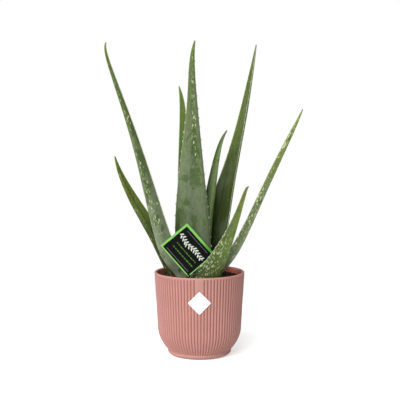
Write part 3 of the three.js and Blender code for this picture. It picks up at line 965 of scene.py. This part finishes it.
# corner is the colour that the print turns to at its right corner, painted shade where the card bows
def printFinish(name, color, roughness=0.38, shift=0.06, corner=None):
    material, tree, shader = newFinish(name, roughness)
    place = objectPlace(tree)
    dust = grain(tree, place, 90, 4, 0.6)
    fibre = grain(tree, place, 2600, 2)
    lighter = paint(*[min(255, c + 255 * shift) for c in color])
    shade = mixColor(tree, ramp(tree, dust, 0.35, 0.75), paint(*color), lighter)
    if corner:
        # painted shade: darker towards the right corner
        shade = mixColor(tree, ramp(tree, partOf(tree, place, 0), 0.0, 0.018), shade, paint(*corner))
    tree.links.new(shade, shader.inputs["Base Color"])
    rough = ramp(tree, dust, 0.3, 0.7, roughness - 0.05, roughness + 0.1)
    tree.links.new(rough, shader.inputs["Roughness"])
    shader.inputs["Specular IOR Level"].default_value = 0.2
    relief(tree, shader, fibre, 0.00003, 0.4)
    return material


def leafMark(a, b, long, wide, tilt, steps=9):  # a small pointed oval
    edge = []
    for k in range(steps + 1):
        share = k / steps
        edge.append((long * (share - 0.5), wide / 2 * math.sin(math.pi * share) ** 0.8))
    loop = edge + [(x, -y) for x, y in reversed(edge[1:-1])]
    c, s = math.cos(math.radians(tilt)), math.sin(math.radians(tilt))
    return [(a + x * c - y * s, b + x * s + y * c) for x, y in loop]


def bar(left, right, b, thick, skew=0.0):  # its right end is raised by the skew
    low, high = b - thick / 2, b + thick / 2
    return [(left, low), (right, low + skew), (right, high + skew), (left, high)]


def buildLabel():
    rng = random.Random(12)
    half, thick = label["side"] / 2, label["thickness"] / 2
    upperLeft, lowerRight, lowerLeft, upperRight = label["border"]
    greenCard = printFinish("greenLabelCard", label["green"], 0.36, 0.03, label["shadedCornerGreen"])
    card = addInlay("labelCard", [cardOutline(-half, half, -half, half, label["corner"])], -thick, thick,
                    greenCard, label["cells"])
    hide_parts("plant_label")
    black = printFinish("blackLabelPrint", label["black"], 0.32, 0.03)
    inside = cardOutline(-half + upperLeft, half - lowerRight, -half + lowerLeft, half - upperRight, 0.8)
    sunk, raised = thick - label["panelSink"], thick + label["panelLift"]
    addInlay("labelPanel", [inside], sunk, raised, black, label["cells"])
    back = half - label["backBorder"]
    backOutline = cardOutline(-back, back, -back, back, 0.8)
    addInlay("labelBackPanel", [backOutline], -raised, -sunk, black, label["cells"])
    # a chalk sprig of leaves, with dashes under it, between two thin rules
    wave = lambda a: 7.2 + 1.3 * math.sin(a / 5.2)
    starts = [1.2 * k - 26 for k in range(44)]
    marks = [bar(a, a + 1.25, wave(a), 0.9, wave(a + 1.2) - wave(a)) for a in starts]
    a, above = -24.5, 1
    while a < 25:
        long, tilt = rng.uniform(5.6, 7.4), rng.uniform(50, 68) * above
        x, y = math.cos(math.radians(tilt)) * long / 2, math.sin(math.radians(tilt)) * long / 2
        marks.append(leafMark(a + x, wave(a) + y, long, rng.uniform(2.0, 2.7), tilt))
        a, above = a + rng.uniform(2.0, 2.8), -above
    chalk = printFinish("chalkPrint", label["chalk"], 0.6, 0.02)
    addInlay("labelSprig", marks, thick, thick + label["chalkLift"], chalk, label["finePrint"])
    dashes = []
    for b, left, right in ((-6.0, -19, 23), (-15.0, -19, 25)):
        a = left
        while a < right:
            wide = rng.uniform(1.6, 4.6)
            dashes.append(bar(a, min(a + wide, right), b + rng.uniform(-0.2, 0.2), rng.uniform(1.5, 2.1)))
            a += wide + rng.uniform(0.9, 1.5)
    green = printFinish("greenPrint", label["dash"], 0.5, 0.02)
    addInlay("labelDashes", dashes, thick, thick + label["inkLift"], green, label["finePrint"])
    rules = [bar(-22, 24, 22.2, 0.7), bar(-23.5, 25.5, -25.9, 0.7)]
    grey = printFinish("greyPrint", label["rule"], 0.5, 0.02)
    addInlay("labelRules", rules, thick, thick + label["inkLift"], grey, label["finePrint"])
    buildStake(black)


def buildStake(finish):  # the card carries on down from its lowest corner as a pointed stake
    half = label["side"] / math.sqrt(2)
    w, end = label["stakeWidth"] / 2, half + label["stakeLength"]
    outline = [(-w, w - half + 1), (-w, w - end), (-w * 0.3, -end + 0.6), (0, -end), (w * 0.3, -end + 0.6),
               (w, w - end), (w, w - half + 1)]
    root = math.sqrt(0.5)
    flat = [((x - y) * root, (x + y) * root) for x, y in outline]
    depth = label["thickness"] / 2 - 0.08  # a little thinner than the card
    addInlay("labelStake", [flat], -depth, depth, finish, 30)


buildLabel()

sticker = {"side": 25.0, "thickness": 0.4, "centre": 92.2, "gap": 0.3, "cells": 30, "corner": 0.5}


def buildSticker():
    half = sticker["side"] / 2
    radius = potRadius(sticker["centre"]) + sticker["gap"]
    slope = math.atan(pot["taper"])
    upward = Vector((0, -math.sin(slope), math.cos(slope)))
    outward = Vector((0, -math.cos(slope), -math.sin(slope)))
    root = math.sqrt(0.5)
    count = sticker["cells"]
    points, faces = [], []

    def put(a, b, lift):
        reach, height = (a + b) * root, (b - a) * root
        imprint = 0.10 * abs(math.sin(math.pi * pot["folds"] * (reach / radius) / tau)) - 0.1
        spot = Vector((0, -radius, sticker["centre"])) + upward * height + outward * (lift + imprint)
        points.append(Matrix.Rotation(reach / radius, 3, "Z") @ spot * mm)

    def inset(v, other):  # rounds the corners a little
        spare = max(abs(other) - (half - sticker["corner"]), 0)
        return max(min(v, half - 0.4 * spare), -half + 0.4 * spare)

    for lift in (0.0, sticker["thickness"]):
        for i in range(count + 1):
            for j in range(count + 1):
                a, b = half * (2 * i / count - 1), half * (2 * j / count - 1)
                put(inset(a, b), inset(b, a), lift)
    size = count + 1
    top = size * size
    for i in range(count):
        for j in range(count):
            a = i * size + j
            faces.append((a, a + 1, a + size + 1, a + size))
            faces.append((top + a, top + a + size, top + a + size + 1, top + a + 1))
    rim = [i * size for i in range(size)] + [count * size + j for j in range(1, size)]
    rim += [i * size + count for i in range(count - 1, -1, -1)] + list(range(count - 1, 0, -1))
    for a, b in zip(rim, rim[1:] + rim[:1]):
        faces.append((a, b, top + b, top + a))
    addPiece("potSticker", points, faces, [printFinish("whiteStickerPaper", (246, 246, 244), 0.3, 0.02)],
             ["pot_sticker"])


buildSticker()

print("aloe: done")
